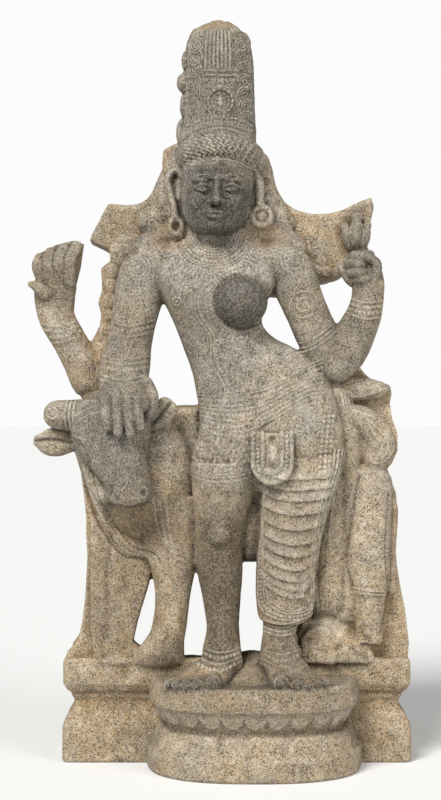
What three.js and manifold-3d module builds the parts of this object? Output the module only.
// A standing figure, half god and half goddess, with one arm resting on a bull. Figure, bull, back slab
// and lotus plinth are carved from one block of granite, so the whole is one solid.
// Millimetres. x runs to the viewer's right, y away from the viewer and z up. Parts are placed as the
// front elevation of the block shows them, and the finished solid is centred over the middle of its foot.
import * as THREE from "three";
import { mergeVertices } from "three/addons/utils/BufferGeometryUtils.js";
import Module from "manifold-3d";

const wasm = await Module();
wasm.setup();

// Driving sizes of the block and of its foot.
const FLOOR = 132; // top of the round plinth, where the feet stand
const LEDGE = 157; // top of the oblong block, where the bull stands
const BLOCK = { left: -238, right: 287, back: 156, corner: 14 };
const PLINTH = {
  middle: 50, halfWidth: 160, reach: 138, squareness: 2.5, embedded: 30, petals: 8, pointsInPetal: 4, lift: 6,
};
const FOLDS = { count: 10, rise: 4, from: 0.3 }; // folds of the skirt, and where on the leg they start
const FACE = { chin: 790, hairline: 903, midline: -6, faceWidth: 103 };
const BACK_LEAN = { atFoot: 150, atTop: 62, top: 1109 }; // how far back the stone reaches, foot and top
const SHORTEST_EDGE = 4.5; // edges shorter than this are drawn together
const CUT = 500; // longer than any part of the block, for tools that cut right through it

const vec = (x, y, z) => new THREE.Vector3(x, y, z);
const degrees = (angle) => (angle * Math.PI) / 180;
const squared = (value, power) => Math.sign(value) * Math.abs(value) ** (2 / power);

// Turns a closed mesh into a solid, with its faces turned outwards.
function solidOf(geometry) {
  const bare = new THREE.BufferGeometry().setAttribute("position", geometry.getAttribute("position"));
  if (geometry.index) bare.setIndex(geometry.index);
  const merged = mergeVertices(bare, 1e-4);
  const at = (i) => new THREE.Vector3().fromBufferAttribute(merged.attributes.position, i);
  const corners = [...merged.index.array];
  const triVerts = [];
  let volume = 0;
  for (let i = 0; i < corners.length; i += 3) {
    const [a, b, c] = corners.slice(i, i + 3);
    if (a === b || b === c || c === a) continue;
    triVerts.push(a, b, c);
    volume += at(a).dot(at(b).cross(at(c)));
  }
  if (volume < 0) triVerts.reverse();
  return new wasm.Manifold(
    new wasm.Mesh({
      numProp: 3,
      vertProperties: new Float32Array(merged.attributes.position.array),
      triVerts: new Uint32Array(triVerts),
    }),
  );
}

const join = (solids) => solids.flat(Infinity).reduce((whole, solid) => whole.add(solid));

// Closes a stack of rings, all with the same number of points, into one solid.
function skin(rings) {
  const count = rings[0].length;
  const points = rings.flat();
  const index = [];
  for (let r = 0; r + 1 < rings.length; r++)
    for (let i = 0; i < count; i++) {
      const a = r * count + i;
      const b = r * count + ((i + 1) % count);
      index.push(a, b, b + count, a, b + count, a + count);
    }
  const lastRing = (rings.length - 1) * count;
  const middle = (ring) => ring.reduce((sum, p) => sum.add(p), vec(0, 0, 0)).divideScalar(count);
  const foot = points.push(middle(rings[0])) - 1;
  const head = points.push(middle(rings.at(-1))) - 1;
  for (let i = 0; i < count; i++) {
    const next = (i + 1) % count;
    index.push(foot, next, i, head, lastRing + i, lastRing + next);
  }
  const geometry = new THREE.BufferGeometry().setFromPoints(points);
  geometry.setIndex(index);
  return solidOf(geometry);
}

// A rounded form along a row of stations [x, y, z, halfWidth, halfDepth, tilt]. The width lies across
// the view, and the depth along `face`, the way the form's front looks. Level forms have horizontal
// rings, which `tilt` lifts at their right end and `sag` lowers at their front.
function limb(
  stations,
  { sides = 10, face = vec(0, -1, 0), power = 2, level = false, sag = 0, domes = [1, 1] } = {},
) {
  const path = new THREE.CatmullRomCurve3(stations.map(([x, y, z]) => vec(x, y, z)));
  const last = stations.length - 1;
  const ringAt = (station, swell, shift) => {
    const [x, y, z, width, depth, tilt = 0] = stations[station];
    const along = level ? vec(0, 0, 1) : path.getTangent(station / last);
    const across = along.clone().cross(face).normalize();
    const out = across.clone().cross(along).normalize();
    const centre = vec(x, y, z).addScaledVector(along, shift * Math.min(width, depth));
    return Array.from({ length: sides }, (_, i) => {
      const angle = (2 * Math.PI * (i + 0.5)) / sides;
      const [toRight, toFront] = [squared(Math.cos(angle), power), squared(Math.sin(angle), power)];
      return centre
        .clone()
        .addScaledVector(across, width * swell * toRight)
        .addScaledVector(out, depth * swell * toFront)
        .add(vec(0, 0, tilt * toRight - sag * Math.max(0, toFront)));
    });
  };
  const dome = degrees(48);
  const rings = stations.map((_, i) => ringAt(i, 1, 0));
  if (domes[0]) rings.unshift(ringAt(0, Math.cos(dome), -Math.sin(dome)));
  if (domes[1]) rings.push(ringAt(last, Math.cos(dome), Math.sin(dome)));
  return skin(rings);
}

// Adds raised bands to a row of stations. A band is [place, halfLength, rise], with its place and half
// length counted in stations, so that 2.5 lies halfway between the third and the fourth.
function banded(stations, bands) {
  const at = (place, rise) => {
    const before = Math.min(Math.floor(place), stations.length - 2);
    const mix = (i) => {
      const [a = 0, b = 0] = [stations[before][i], stations[before + 1][i]];
      return a + (b - a) * (place - before);
    };
    return { place, station: [mix(0), mix(1), mix(2), mix(3) + rise, mix(4) + rise, mix(5)] };
  };
  const added = bands.flatMap(([place, half, rise]) =>
    [[-1, 0], [-0.75, rise], [0.75, rise], [1, 0]].map(([end, out]) => at(place + end * half, out)));
  const kept = stations
    .map((station, place) => ({ place, station }))
    .filter(({ place }) => !bands.some(([middle, half]) => Math.abs(place - middle) <= half));
  return [...kept, ...added].sort((a, b) => a.place - b.place).map(({ station }) => station);
}

// A cord of even section along a few points.
const cord = (points, radius, sides = 4) =>
  limb(points.map((p) => [...p, radius, radius]), { sides, domes: [0, 0] });

// An egg of half sizes [x, y, z], turned by degrees about x, y and z.
function egg(centre, half, turn = [0, 0, 0], around = 6, up = 4) {
  const geometry = new THREE.SphereGeometry(1, around, up).rotateX(Math.PI / 2);
  geometry.scale(...half);
  geometry.applyMatrix4(new THREE.Matrix4().makeRotationFromEuler(new THREE.Euler(...turn.map(degrees))));
  return solidOf(geometry.translate(...centre));
}

// A plate cut to an outline of [x, z] points, from y = back forwards to y = front, with eased edges.
// Its back outline can be wider or narrower than the front one, by `flare` about the outline's middle.
function plate(outline, back, front, { ease = 6, flare = 1 } = {}) {
  const geometry = new THREE.ExtrudeGeometry(new THREE.Shape(outline.map(([x, z]) => new THREE.Vector2(x, z))), {
    depth: back - front - 2 * ease,
    steps: 1,
    bevelEnabled: ease > 0,
    bevelThickness: ease,
    bevelSize: ease,
    bevelOffset: -ease,
    bevelSegments: 1,
  });
  geometry.rotateX(Math.PI / 2).translate(0, back - ease, 0);
  const middle = outline.reduce((sum, [x, z]) => sum.add(vec(x, 0, z)), vec(0, 0, 0)).divideScalar(outline.length);
  const points = geometry.attributes.position;
  for (let i = 0; i < points.count; i++) {
    if (points.getY(i) < (front + back) / 2) continue;
    points.setX(i, middle.x + (points.getX(i) - middle.x) * flare);
    points.setZ(i, middle.z + (points.getZ(i) - middle.z) * flare);
  }
  return solidOf(geometry);
}

// The oblong block: a foot, a hollow waist and a fascia, on its front and both ends.
function oblongBlock() {
  const profile = [[0, 3], [5, 0], [50, 0], [64, 5], [78, 14], [90, 17], [101, 13], [112, 5], [150, 1], [LEDGE, 5]];
  const { left, right, back, corner } = BLOCK;
  return skin(
    profile.map(([z, inset]) => {
      const [l, r, f] = [left + inset, right - inset, inset];
      const eased = (x, y, from) =>
        [0, 90].map((turn) => {
          const angle = degrees(from + turn);
          return vec(x + corner * Math.cos(angle), y + corner * Math.sin(angle), z);
        });
      return [
        ...eased(r - corner, f + corner, 270),
        ...eased(r - corner, back - corner, 0),
        ...eased(l + corner, back - corner, 90),
        ...eased(l + corner, f + corner, 180),
      ];
    }),
  );
}

// The round-fronted plinth: a foot with a row of petals rising from it, a waist, a row of petals
// hanging, and a rim with a groove under it.
function lotusPlinth() {
  const { middle, halfWidth, reach, squareness, embedded, petals, pointsInPetal, lift } = PLINTH;
  // Height, inset from the foot's edge, and how much of a petal's lift shows there.
  const profile = [
    [0, 1, 0], [24, 1, 0], [29, 5, 0.4], [40, 8, 1], [55, 15, 0.8], [64, 26, 0], [72, 27, 0], [82, 19, 1],
    [93, 11, 0.6], [98, 6, 0], [124, 5, 0], [FLOOR, 11, 0],
  ];
  const around = petals * pointsInPetal;
  return skin(
    profile.map(([z, inset, shown]) => {
      const ring = [];
      for (let i = 0; i <= around; i++) {
        const angle = Math.PI * (1 + i / around);
        const out = shown * lift * Math.abs(Math.sin((Math.PI * i) / pointsInPetal)) - inset;
        const x = middle + (halfWidth + out) * squared(Math.cos(angle), squareness);
        const y = (reach + out) * squared(Math.sin(angle), squareness);
        ring.push(vec(x, y, z));
      }
      ring.push(vec(middle + halfWidth - 30, embedded, z), vec(middle - halfWidth + 30, embedded, z));
      return ring;
    }),
  );
}

// The back slab: wings beside head and shoulders, a spine behind the trunk, and a wall behind the rest.
function backSlab() {
  const wings = [
    [-61, 935], [-86, 923], [-88, 904], [-87, 882], [-97, 866], [-111, 848], [-123, 841], [-143, 839],
    [-169, 841], [-179, 823], [-195, 794], [-198, 785], [-182, 777], [-167, 770], [-164, 757],
    [-181, 743], [-179, 710], [-185, 692], [-180, 675], [-184, 642], [-186, 625], [-150, 640], [-100, 700],
    [-40, 705], [40, 705], [86, 704], [145, 720], [164, 725], [179, 731], [205, 745], [229, 759],
    [222, 778], [225, 806], [232, 836], [226, 850], [207, 843], [184, 831], [164, 826],
    [138, 826], [113, 832], [97, 843], [84, 866], [79, 893], [72, 913], [41, 939],
  ];
  const spine = [[-26, 440], [150, 440], [140, 570], [106, 600], [64, 630], [56, 720], [-60, 720], [-50, 610], [-26, 545]];
  const wall = [
    [-208, 480], [-211, 433], [-206, 397], [-203, 356], [-202, 294], [-205, 243], [-209, 208], [-217, 180],
    [-233, 160], [-233, 130], [282, 130], [285, 178], [282, 208], [276, 243], [271, 269], [267, 294],
    [265, 315], [267, 340], [269, 376], [265, 405], [257, 423], [249, 439], [259, 447], [268, 468],
    [268, 492], [260, 517], [256, 540], [259, 556], [256, 566], [245, 572], [227, 577], [217, 586],
    [206, 600], [150, 600], [60, 560], [-24, 545], [-36, 536], [-150, 536], [-206, 520],
  ];
  return [
    plate(wings, BLOCK.back, 11, { ease: 7 }),
    plate(spine, BLOCK.back, 0, { ease: 0 }),
    plate(wall, BLOCK.back, 17, { ease: 7 }),
  ];
}

// Openings cut right through the stone, as outlines of [x, z] points that widen towards the back.
function openings() {
  const outlines = [
    // between the slab and the bull's foreleg
    [[-104, 286], [-97, 262], [-99, 239], [-97, 215], [-106, 194], [-119, 172], [-131, 180], [-126, 208],
      [-116, 239], [-109, 264]],
    // between the bull's foreleg and the god's leg
    [[-38, 290], [-28, 256], [-20, 228], [-16, 205], [-22, 183], [-36, 164], [-39, LEDGE], [-56, LEDGE],
      [-57, 183], [-53, 215], [-47, 248], [-42, 272]],
    // between the two legs
    [[33, 300], [55, 300], [56, 264], [58, 232], [65, 211], [64, 174], [58, LEDGE], [34, LEDGE], [29, 183],
      [28, 213], [31, 256]],
  ];
  return outlines.map((outline) => plate(outline, BLOCK.back + 10, -10, { ease: 0, flare: 1.08 }));
}

// The trunk, swung over the standing leg: hips to the viewer's right, chest back to the left. Two
// girdles lie over the hips.
function trunk() {
  const body = [
    [70, -22, 418, 98, 38, 0], [69, -21, 442, 110, 46, 0], [71, -22, 470, 112, 51, 0], [74, -22, 505, 106, 51, 8], [68, -18, 540, 100, 47, 14],
    [55, -15, 575, 91, 46, 20], [35, -12, 604, 78, 45, 16], [12, -10, 630, 67, 42, 8], [-4, -12, 660, 66, 43, 0],
    [-8, -13, 694, 79, 49, 0], [-7, -12, 728, 96, 47, 0], [-7, -9, 756, 96, 38, 0], [-7, -8, 778, 66, 31, 0],
  ];
  const girdles = [[3.35, 0.2, 3], [4.75, 0.16, 3]];
  const neck = [[-7, -10, 760, 50, 34], [-7, -10, 784, 36, 31], [-8, -14, 806, 35, 32]];
  const collar = [[-7, -20, 752, 70, 42], [-7, -20, 764, 62, 42], [-7, -12, 782, 44, 34], [-7, -12, 788, 38, 32]];
  return [
    limb(banded(body, girdles), { sides: 18, level: true, power: 2.2, domes: [0, 0] }),
    limb(neck, { sides: 12, level: true, domes: [0, 0] }),
    limb(collar, { sides: 16, level: true, sag: 12, domes: [0, 0] }),
    egg([31, -47, 689], [38, 38, 37], [0, 0, 0], 12, 8), // the goddess's breast
  ];
}

// Both legs. The bent one is wrapped in a cloth whose folds hang one below another.
function legs() {
  const standing = [
    [8, -30, 452, 52, 46], [5, -29, 410, 47, 45], [-1, -25, 360, 37, 40], [-2, -20, 325, 34, 35],
    [-1, -14, 290, 34, 34], [2, -13, 240, 27, 27], [3, -16, 205, 24, 24], [2, -19, 178, 28, 27],
    [2, -22, 158, 31, 28],
  ];
  const draped = [
    [124, -28, 470, 56, 47], [119, -29, 430, 57, 48], [107, -27, 370, 50, 44], [99, -22, 318, 45, 39],
    [96, -18, 270, 44, 37], [96, -17, 236, 42, 35],
  ];
  const cloth = new THREE.CatmullRomCurve3(draped.map(([x, y, z]) => vec(x, y, z)));
  const girth = new THREE.CatmullRomCurve3(draped.map(([, , , width, depth]) => vec(width, depth, 0)));
  const { count, rise, from } = FOLDS;
  const folded = Array.from({ length: 2 * count }, (_, i) => {
    const lip = i % 2; // a groove, then the lip of the fold below it
    const t = from + ((1 - from) * (i - 0.45 * lip)) / (2 * count - 1);
    const [{ x, y, z }, { x: width, y: depth }] = [cloth.getPoint(t), girth.getPoint(t)];
    return [x, y, z, width - rise * (1 - lip), depth + rise * (lip - 0.5)];
  });
  const ankle = [[90, -17, 244, 27, 27], [89, -17, 196, 26, 26], [89, -20, 158, 31, 28]];
  return [
    limb(banded(standing, [[6.8, 0.28, 3]]), { sides: 14, level: true, domes: [0, 0] }),
    limb([draped[0], draped[1], ...folded, [96, -17, 224, 40, 33]], { sides: 16, level: true, power: 2.3, sag: 12, domes: [0, 0] }),
    limb(banded(ankle, [[0.75, 0.2, 3]]), { sides: 12, level: true, domes: [0, 0] }),
    egg([-2, -55, 352], [19, 12, 23], [0, 0, 0], 8, 5), // kneecap
  ];
}

// A foot splayed from heel to ball, with five toes. `turn` is 1 for a foot whose toes run to the right.
function foot(heel, ball, turn) {
  const sole = FLOOR - 5;
  const lean = ball - heel;
  const instep = [
    [heel, 2, sole + 18, 25, 20], [heel + 0.2 * lean, -30, sole + 20, 30, 26],
    [heel + 0.7 * lean, -68, sole + 12, 37, 17], [ball, -96, sole + 7, 38, 9],
  ];
  // Sideways step from the ball of the foot, how far each toe reaches, and its radius.
  const toes = [[-27, -118, 12], [-5, -116, 9], [10, -112, 8], [23, -106, 7.4], [34, -98, 6.8]];
  return [
    limb(instep, { sides: 10, face: vec(0, 0, 1) }),
    ...toes.map(([side, reach, radius]) =>
      egg([ball + turn * side, reach + 2 * radius, sole + radius], [radius, 2 * radius, radius], [8, 0, 0], 7, 5)),
  ];
}

// The god's front arm hangs down before the shoulder, and its hand lies on the bull's brow.
function armOnBull() {
  const arm = [
    [-92, -4, 748, 34, 32], [-112, -6, 732, 39, 34], [-122, -8, 700, 37, 33], [-130, -8, 662, 34, 31],
    [-136, -9, 630, 34, 30], [-141, -16, 602, 37, 31], [-143, -34, 576, 37, 27], [-140, -52, 556, 37, 23],
  ];
  const palm = [[-140, -46, 566, 36, 22], [-140, -64, 548, 38, 19], [-139, -76, 532, 35, 13]];
  // Each finger: x at the knuckle, x at the tip, z of the tip.
  const fingers = [[-167, -163, 499], [-151, -148, 491], [-135, -130, 489], [-122, -116, 499]];
  return [
    limb(banded(arm, [[3.4, 0.3, 4]]), { sides: 12, domes: [1, 0] }),
    limb(palm, { sides: 10, domes: [0, 1] }),
    ...fingers.map(([knuckle, tip, low]) =>
      limb([[knuckle, -78, 544, 8, 9], [(knuckle + tip) / 2, -86, 522, 7.6, 8], [tip, -85, low + 6, 7, 7]],
        { sides: 6, domes: [0, 1] }),
    ),
    limb([[-114, -52, 566, 16, 14], [-103, -60, 548, 13, 13], [-103, -63, 526, 10, 10]], { sides: 7 }),
  ];
}

// The god's rear arm, raised, with the stumps of its broken fingers.
function raisedArm() {
  const arm = [
    [-120, 40, 740, 30, 26], [-152, 38, 660, 28, 26], [-178, 30, 604, 30, 26], [-200, 24, 574, 30, 26],
    [-216, 21, 604, 29, 25], [-232, 19, 636, 27, 24], [-246, 17, 666, 27, 22], [-250, 15, 690, 30, 20],
    [-249, 13, 716, 32, 17], [-245, 13, 740, 29, 16],
  ];
  return [
    limb(banded(arm, [[5.5, 0.32, 3]]), { sides: 10, domes: [0, 1] }),
    limb([[-264, 9, 722, 12, 12], [-272, 4, 746, 9, 10], [-271, 4, 762, 7, 8]], { sides: 6, domes: [0, 1] }),
    limb([[-250, 4, 726, 12, 12], [-250, 0, 754, 12, 11], [-247, 2, 774, 11, 9]], { sides: 6, domes: [0, 1] }),
    limb([[-231, 6, 728, 15, 14], [-227, 4, 756, 16, 13], [-221, 6, 778, 14, 11]], { sides: 7, domes: [0, 1] }),
    plate([[-276, 764], [-271, 735], [-262, 705], [-222, 705], [-212, 745], [-207, 780], [-222, 785], [-250, 778]],
      30, 4, { ease: 6 }), // stone left between the fingers
    limb([[-262, 0, 704, 12, 12], [-274, -4, 714, 9, 9], [-284, -4, 718, 5, 6]], { sides: 6, domes: [0, 1] }),
  ];
}

// The goddess's arm: down to the elbow, and up again to a hand that holds a flower bud.
function armWithBud() {
  const upper = [
    [86, -5, 748, 34, 32], [106, -8, 736, 35, 34], [114, -9, 712, 34, 31], [127, -11, 680, 32, 29],
    [142, -14, 646, 32, 28], [158, -16, 618, 33, 28], [172, -17, 603, 33, 27],
  ];
  const fore = [
    [170, -17, 601, 33, 27], [186, -18, 618, 33, 26], [200, -20, 642, 30, 26], [212, -22, 668, 27, 24],
    [218, -23, 692, 24, 20], [220, -21, 716, 24, 17], [219, -16, 738, 21, 15],
  ];
  return [
    limb(banded(upper, [[3, 0.3, 4]]), { sides: 12, domes: [1, 1] }),
    limb(banded(fore, [[3.35, 0.42, 3]]), { sides: 12, domes: [1, 1] }),
    limb([[230, -24, 728, 9, 12], [231, -28, 746, 8, 10], [220, -33, 755, 7, 8]], { sides: 6 }),
    limb([[206, -18, 718, 11, 11], [192, -20, 724, 8, 8], [181, -18, 742, 7, 8]], { sides: 6 }),
    egg([212, -36, 735], [14, 10, 15], [0, 15, 0]),
    egg([199, -25, 742], [16, 15, 14], [0, 0, 0], 8, 5), // the bud
    egg([207, 4, 800], [19, 16, 26], [0, 12, 0], 8, 5), // a bloom on the slab above the hand
  ];
}

// Head, ears and earrings, with a plain, even face laid out by thirds and fifths.
function head() {
  const { chin, hairline, midline, faceWidth } = FACE;
  const skull = [
    [-9, -50, 789, 14, 21], [-9, -43, 797, 28, 35], [-8, -36, 811, 39, 45], [-7, -32, 831, 47, 50],
    [-6, -30, 855, 51, 52], [-5, -29, 880, 53, 53], [-4, -26, 906, 53, 52], [-4, -24, 922, 53, 50],
  ];
  const [faceHeight, thirdOfFace] = [hairline - chin, (hairline - chin) / 3];
  const [browLine, noseLine] = [hairline - thirdOfFace, chin + thirdOfFace];
  const [eyeLine, mouthLine] = [browLine - faceHeight / 14, noseLine - thirdOfFace / 3];
  return [
    limb(skull, { sides: 18, level: true, power: 2.1, domes: [0, 0] }),
    limb([[midline, -79, browLine, 5, 5], [midline, -84, eyeLine - 8, 6, 8], [midline, -88, noseLine + 6, 9, 9]],
      { sides: 6, domes: [0, 1] }), // nose
    egg([midline, -79, mouthLine], [faceWidth / 7, 6, 5.5]),
    ...[-1, 1].map((side) => egg([midline + (side * faceWidth) / 5, -73, eyeLine], [faceWidth / 8, 9, 6])),
    // long-lobed ears and what hangs in them
    limb([[-60, -16, 882, 8, 14], [-64, -16, 850, 7, 12], [-66, -20, 822, 9, 10], [-70, -22, 802, 14, 12]], { sides: 6 }),
    limb([[53, -16, 880, 8, 14], [57, -16, 850, 7, 12], [60, -20, 828, 9, 9]], { sides: 6, domes: [1, 0] }),
    limb([[62, 20, 814, 19, 19], [62, -24, 814, 19, 19]], { sides: 10, face: vec(0, 0, 1), domes: [0, 0] }),
    egg([62, -24, 814], [11, 6, 11]),
    // masses of curls behind the ears
    egg([-98, 6, 812], [26, 20, 30], [0, 0, 0], 9, 6),
    egg([-142, 14, 768], [26, 12, 28], [0, 0, 0], 8, 6),
    egg([136, 14, 782], [34, 10, 24], [0, 30, 0], 8, 6),
  ];
}

// The tall crown of bound hair: a diadem, bands, a boss in front and a broken knop on top.
function crown() {
  const pile = [
    [-4, -24, 912, 58, 54], [-4, -22, 933, 58, 53], [-2, -19, 954, 54, 49], [-1, -17, 994, 52, 47],
    [-1, -16, 1030, 51, 47], [-2, -15, 1058, 50, 45], [-3, -15, 1077, 47, 41], [-3, -15, 1091, 40, 34],
    [-9, -15, 1101, 28, 24], [-3, -14, 1109, 13, 11],
  ];
  const curls = [[-37, 1050], [-36, 1004], [-33, 968], [34, 1050], [35, 1004], [33, 968]];
  return [
    limb(banded(pile, [[0.9, 0.3, 3], [1.95, 0.25, 3], [4, 0.2, 3]]), { sides: 16, level: true, domes: [0, 0] }),
    limb([[0, -58, 980, 21, 21], [0, -68, 980, 17, 17]], { sides: 10, face: vec(0, 0, 1), domes: [0, 0] }), // boss
    ...[-18, -6, 6].map((x) => cord([[x, -55, 1036], [x, -57, 1060], [x * 0.7 - 2, -44, 1090]], 6)),
    ...curls.map(([x, z]) => egg([x, -38, z], [14, 16, 14], [0, 0, 0], 7, 5)),
    egg([-58, 2, 1021], [9, 16, 13], [0, 0, 0], 7, 5), // knots of hair at the side
    egg([-60, 2, 944], [9, 18, 15], [0, 0, 0], 7, 5),
  ];
}

// The bull's forequarters: chest, dewlap, one foreleg, and the head turned to the viewer.
function bullFront() {
  const dewlap = [
    [-206, 448], [-204, 420], [-195, 397], [-178, 360], [-160, 332], [-138, 313], [-110, 305], [-60, 285],
    [-36, 300], [-26, 420], [-32, 534], [-120, 534], [-198, 500],
  ];
  const foreleg = [
    [-78, 4, 400, 46, 28], [-76, 0, 350, 44, 30], [-71, -2, 290, 33, 28], [-72, -2, 246, 26, 25],
    [-76, -4, 205, 25, 24], [-82, -4, 184, 27, 25], [-93, -8, 154, 40, 30],
  ];
  const skull = [
    [-166, -20, 545, 44, 20], [-162, -30, 528, 56, 32], [-162, -38, 500, 60, 37], [-160, -40, 472, 53, 36],
    [-150, -43, 446, 45, 33], [-139, -47, 422, 42, 30], [-131, -50, 402, 37, 27], [-130, -50, 392, 30, 22],
  ];
  const jaw = [[-194, -10, 476, 26, 26], [-186, -14, 436, 20, 24], [-172, -24, 404, 16, 18]];
  const farLeg = [[-152, 30, 350, 48, 24], [-149, 28, 260, 42, 26], [-147, 26, 195, 38, 26], [-142, 18, 154, 42, 30]];
  return [
    limb(farLeg, { sides: 10, level: true, domes: [0, 0] }),
    plate(dewlap, 60, -4, { ease: 12 }),
    limb(foreleg, { sides: 12, level: true, domes: [0, 0] }),
    egg([-112, -2, 430], [72, 32, 96], [0, 0, 0], 10, 6),
    limb(skull, { sides: 14, level: true, power: 2.4, domes: [0, 0] }),
    limb(jaw, { sides: 8, domes: [0, 1] }),
    limb([[-196, -20, 521, 25, 25], [-226, -26, 522, 23, 23], [-241, -30, 523, 22, 22]], { sides: 10, domes: [0, 1] }), // horn
    limb([[-212, -14, 480, 10, 8], [-236, -16, 482, 21, 9], [-258, -18, 482, 20, 8], [-273, -18, 484, 9, 6]], { sides: 6 }),
    limb([[-106, -20, 506, 12, 10], [-92, -24, 520, 20, 10], [-76, -26, 536, 17, 9]], { sides: 7 }), // ears
    egg([-199, -54, 470], [17, 10, 8], [0, 42, 0]), // eye
    egg([-131, -72, 400], [30, 12, 13], [0, 0, 0], 8, 5), // muzzle
  ];
}

// The bull's hindquarters on the other side of the figure: haunch, hind leg, tail and broken belly stone.
function bullRear() {
  const haunch = [
    [204, 24, 448, 50, 20], [206, 14, 415, 54, 30], [206, 10, 350, 56, 34], [208, 8, 300, 52, 33],
    [210, 8, 255, 44, 30], [212, 10, 215, 38, 27], [214, 8, 182, 36, 26], [212, 4, 154, 38, 28],
  ];
  return [
    limb(haunch, { sides: 14, level: true, power: 2.6, domes: [0, 0] }),
    cord([[250, 20, 425], [258, 17, 380], [256, 16, 320], [257, 18, 260]], 9, 5), // tail
    limb([[166, 8, 430, 24, 26], [160, 4, 350, 28, 28], [158, 8, 270, 26, 26], [154, 12, 222, 24, 20]],
      { sides: 8, level: true, domes: [0, 0] }), // cloth between leg and haunch
    egg([152, 14, 176], [38, 28, 42], [0, 10, 0], 8, 5),
    egg([186, 14, 186], [30, 26, 40], [0, 20, 0], 8, 5),
    plate([[33, 300], [62, 300], [72, 430], [34, 430]], 80, 2, { ease: 0 }), // belly behind the legs
  ];
}

// Cloth that hangs free of the legs: the sash end, the skirt's border, pleats, and the knots at the hip.
function drapery() {
  const lappet = [
    [44, 498], [42, 462], [46, 438], [56, 422], [77, 416], [97, 423], [106, 440], [108, 462], [100, 498],
  ];
  const inset = [[60, 494], [58, 460], [66, 447], [78, 444], [89, 449], [95, 464], [92, 494]];
  const pleats = [0, 11, 22].map((shift) =>
    cord([[180 + shift * 0.2, -24, 446], [162 + shift * 0.6, -22, 380], [147 + shift, -18, 300],
      [136 + shift, -12, 228]], 6));
  return [
    plate(lappet, -40, -88, { ease: 5 }),
    plate(inset, -60, -92, { ease: 3 }),
    cord([[66, -62, 416], [60, -46, 350], [56, -38, 290], [56, -34, 245], [62, -38, 226]], 6), // border
    pleats,
    limb([[176, 2, 556, 17, 18], [206, 8, 561, 16, 15], [244, 12, 557, 12, 13]], { sides: 8 }), // knots at the hip
    limb([[196, 2, 522, 15, 18], [220, 6, 518, 20, 17], [240, 10, 508, 15, 14]], { sides: 8 }),
    egg([240, 8, 476], [26, 16, 27], [0, 0, 0], 10, 6),
    cord([[192, -4, 598], [187, -6, 572], [192, -4, 540], [198, -2, 500], [190, -8, 450]], 9, 6),
  ];
}

// The twisted thread that runs from the left shoulder between the breasts to the hip.
function thread() {
  return cord([[62, -34, 756], [24, -60, 732], [-18, -60, 714], [-30, -60, 684], [-22, -57, 648], [-4, -55, 610],
    [12, -58, 572]], 5.5, 5);
}

// The slanting back of the block, as a tool that cuts away what lies behind it.
function behindTheBack() {
  const { atFoot, atTop, top } = BACK_LEAN;
  const outline = [[atFoot, -CUT], [atFoot, LEDGE], [atTop, top], [atTop, top + CUT], [CUT, top + CUT], [CUT, -CUT]];
  const geometry = new THREE.ExtrudeGeometry(new THREE.Shape(outline.map(([y, z]) => new THREE.Vector2(y, z))), {
    depth: 2 * CUT,
    bevelEnabled: false,
  });
  // The outline's axes become y and z, and the extrusion runs along x.
  geometry.applyMatrix4(new THREE.Matrix4().makeBasis(vec(0, 1, 0), vec(0, 0, 1), vec(1, 0, 0)));
  return solidOf(geometry.translate(-CUT, 0, 0));
}

function wholeStone() {
  const stone = join([
    oblongBlock(), lotusPlinth(), backSlab(), trunk(), legs(), foot(4, -37, -1), foot(88, 114, 1),
    armOnBull(), raisedArm(), armWithBud(), head(), crown(), bullFront(), bullRear(), drapery(), thread(),
  ]);
  return stone.subtract(join([openings(), behindTheBack()]));
}

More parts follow.
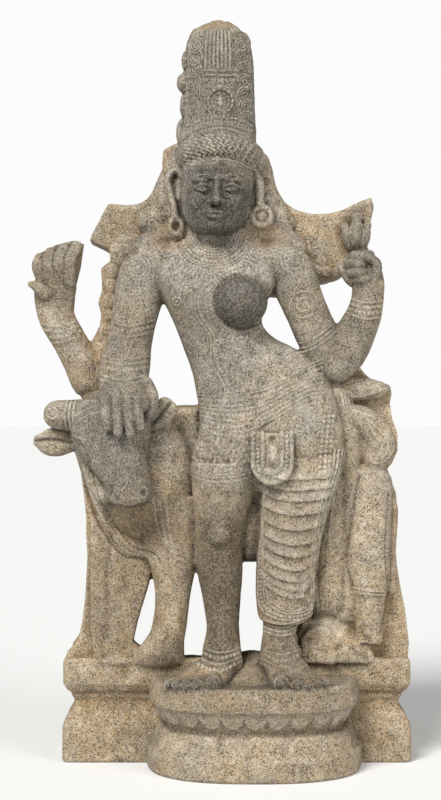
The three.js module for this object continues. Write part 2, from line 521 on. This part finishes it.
// Draws together the ends of edges shorter than `shortest`, which joining leaves where forms meet. An
// edge stays where closing it would pinch the stone or turn a face over.
function withoutSlivers(points, faces, shortest) {
  const around = points.map(() => new Set());
  faces.forEach((face, f) => face.forEach((v) => around[v].add(f)));
  const others = (v) => new Set([...around[v]].flatMap((f) => faces[f]).filter((w) => w !== v));
  const normal = ([a, b, c]) => b.clone().sub(a).cross(c.clone().sub(a));
  const turnsOver = (v, gone, place) =>
    [...around[v]].some((f) => {
      if (faces[f].includes(gone)) return false;
      const before = normal(faces[f].map((w) => points[w]));
      const after = normal(faces[f].map((w) => (w === v ? place : points[w])));
      return before.dot(after) < 0.6 * before.length() * after.length();
    });
  const closeEdge = (a, b) => {
    const shared = [...others(a)].filter((v) => others(b).has(v));
    if (shared.length !== 2 || shared.some((v) => around[v].size < 4)) return false;
    const place = points[a].clone().add(points[b]).multiplyScalar(0.5);
    if (turnsOver(a, b, place) || turnsOver(b, a, place)) return false;
    points[a] = place;
    for (const f of around[b]) {
      if (faces[f].includes(a)) {
        faces[f].forEach((v) => around[v].delete(f));
        faces[f] = null;
      } else {
        faces[f] = faces[f].map((v) => (v === b ? a : v));
        around[a].add(f);
      }
    }
    around[b].clear();
    return true;
  };
  let closed = 1;
  while (closed) {
    const edges = faces
      .filter(Boolean)
      .flatMap(([a, b, c]) => [[a, b], [b, c], [c, a]])
      .filter(([a, b]) => a < b)
      .map(([a, b]) => [a, b, points[a].distanceTo(points[b])])
      .filter(([, , length]) => length < shortest)
      .sort((p, q) => p[2] - q[2]);
    closed = 0;
    for (const [a, b] of edges) {
      const stillThere = around[a].size && around[b].size && others(a).has(b);
      if (stillThere && points[a].distanceTo(points[b]) < shortest && closeEdge(a, b)) closed++;
    }
  }
  return faces.filter(Boolean);
}

// The solid as a mesh, moved so that the origin is at the middle of its box's underside.
function carvedMesh(solid) {
  const { numProp, vertProperties, triVerts } = solid.getMesh();
  const points = Array.from({ length: vertProperties.length / numProp }, (_, i) =>
    vec(...vertProperties.slice(i * numProp, i * numProp + 3)));
  const faces = Array.from({ length: triVerts.length / 3 }, (_, i) => [...triVerts.slice(3 * i, 3 * i + 3)]);
  const kept = withoutSlivers(points, faces, SHORTEST_EDGE);
  const geometry = new THREE.BufferGeometry().setFromPoints(points);
  geometry.setIndex(kept.flat());
  const used = mergeVertices(geometry.toNonIndexed(), 1e-4);
  used.computeBoundingBox();
  const middle = used.boundingBox.getCenter(vec(0, 0, 0));
  used.translate(-middle.x, -middle.y, -used.boundingBox.min.z);
  used.computeVertexNormals();
  return used;
}

const granite = new THREE.MeshStandardMaterial({ color: 0x9a8f7e, roughness: 0.9, metalness: 0 });
const figure = new THREE.Mesh(carvedMesh(wholeStone()), granite);
figure.name = "granite_figure";

const statue = new THREE.Group();
statue.name = "ardhanarishvara_figure";
statue.add(figure);

export default statue;
